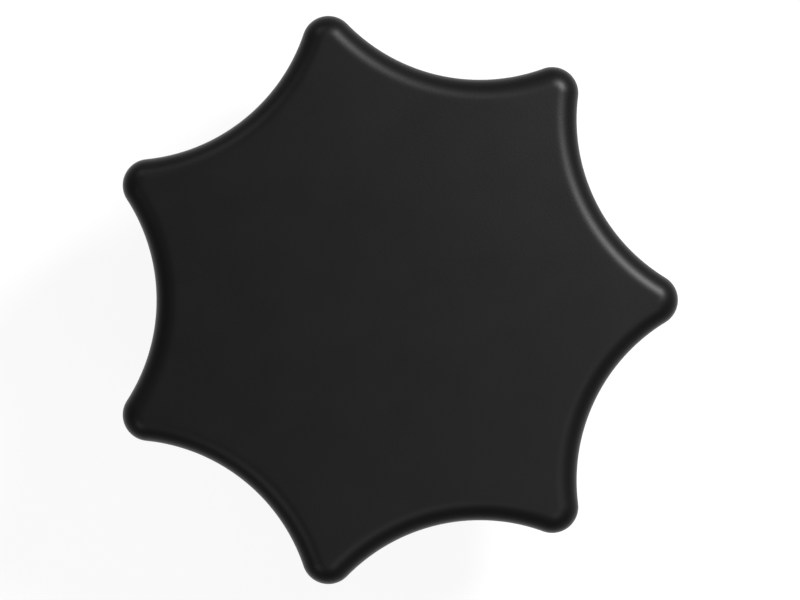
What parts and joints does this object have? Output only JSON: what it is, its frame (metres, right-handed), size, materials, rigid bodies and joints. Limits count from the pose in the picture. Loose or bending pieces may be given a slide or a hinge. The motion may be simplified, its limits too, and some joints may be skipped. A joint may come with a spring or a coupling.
{
  "type": "hand knob",
  "caption": "Lobed hand knob: a satin black plastic head, hollow and ribbed underneath, with a hub moulded round a brass insert that has a blind tapped hole.",
  "frame": {"origin": "on the knob's axis, at the insert's end face, which meets the machine", "axes": "+Z along the axis, out through the face of the head; +X through the middle of a lobe"},
  "size_m": [0.0602, 0.0616, 0.036],
  "materials": {
    "black_plastic": "satin black moulded plastic with a very fine grain",
    "brass": "turned brass"
  },
  "bodies": {
    "root": {"knob_head": "black_plastic", "threaded_insert": "brass"}
  },
  "joints": []
}
